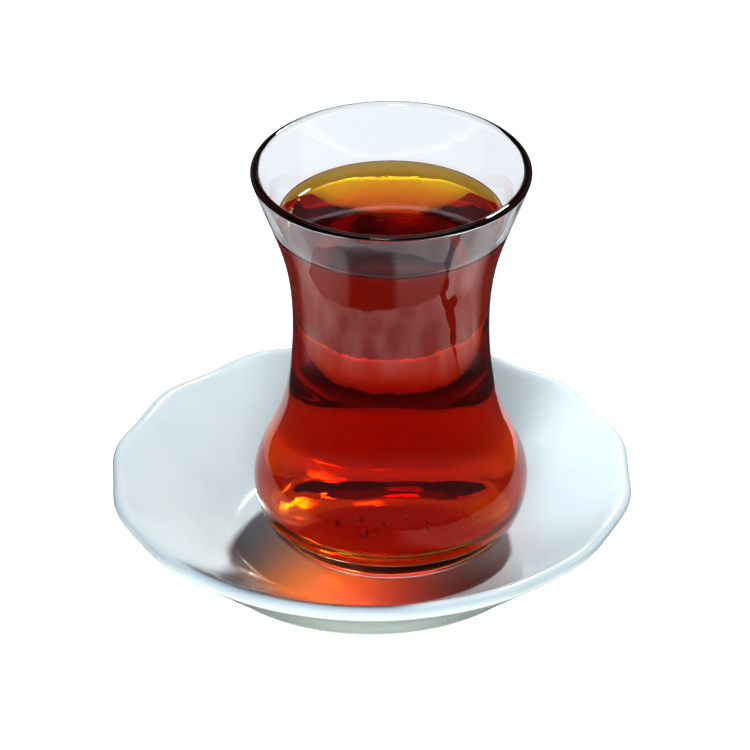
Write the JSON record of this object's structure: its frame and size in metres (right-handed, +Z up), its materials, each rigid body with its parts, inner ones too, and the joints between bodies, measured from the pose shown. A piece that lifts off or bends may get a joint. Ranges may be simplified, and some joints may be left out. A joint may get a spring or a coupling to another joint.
{
  "type": "turkish tea glass",
  "caption": "Tulip-shaped clear glass filled with dark tea, standing on a shallow pale saucer with a softly scalloped rim.",
  "frame": {"origin": "middle of the saucer's foot, on the surface that it stands on", "axes": "+Z up along the glass, -Y towards the viewer, +X to the viewer's right"},
  "size_m": [0.1014, 0.1022, 0.0844],
  "materials": {
    "porcelain": "pale blue-white, high gloss glaze",
    "clear_glass": "clear, fire polished",
    "tea": "clear red-brown liquid"
  },
  "bodies": {
    "root": {"saucer": "porcelain", "tea_glass": "clear_glass", "tea": "tea"}
  },
  "joints": []
}
